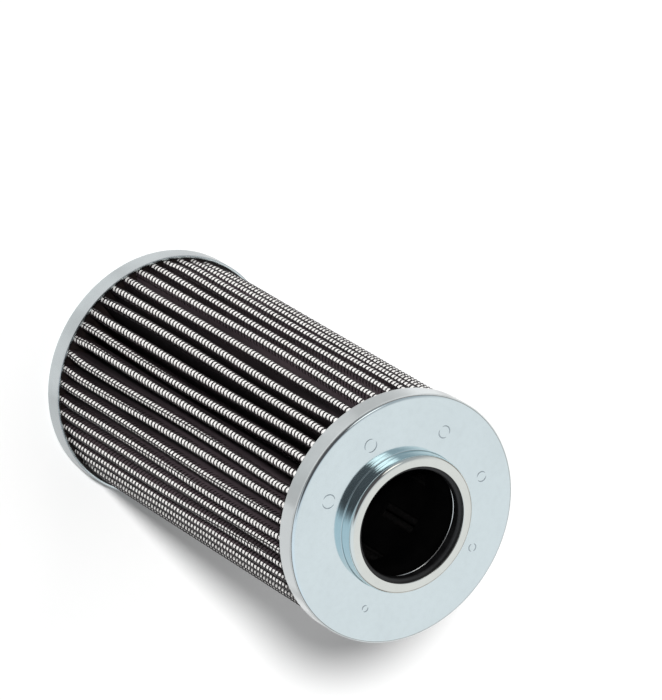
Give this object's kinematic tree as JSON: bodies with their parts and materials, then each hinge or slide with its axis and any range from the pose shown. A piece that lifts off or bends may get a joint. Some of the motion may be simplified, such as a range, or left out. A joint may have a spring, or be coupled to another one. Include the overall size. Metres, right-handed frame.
{
  "type": "hydraulic filter element",
  "caption": "Pleated hydraulic filter element with steel end caps, a black wire support mesh over white media and a sealed neck at one end.",
  "frame": {"origin": "centre of the closed end's outer face", "axes": "+Z along the element's axis, from the closed end to the neck at the open end"},
  "size_m": [0.095, 0.095, 0.1772],
  "materials": {
    "zinc_plate": "gloss",
    "core_steel": "satin",
    "coated_wire": "satin",
    "white_media": "matte",
    "seal_rubber": "satin",
    "adhesive": "satin"
  },
  "bodies": {
    "root": {"closed_end_cap": "zinc_plate", "open_end_cap": "zinc_plate", "neck_collar": "zinc_plate", "seal_ring": "seal_rubber", "seal_seat_ring": "zinc_plate", "core_tube": "core_steel", "outer_support_mesh": "coated_wire", "prefilter_fleece": "white_media", "fibre_media": "white_media", "inner_support_mesh": "coated_wire", "closed_end_potting": "adhesive", "open_end_potting": "adhesive"}
  },
  "joints": []
}
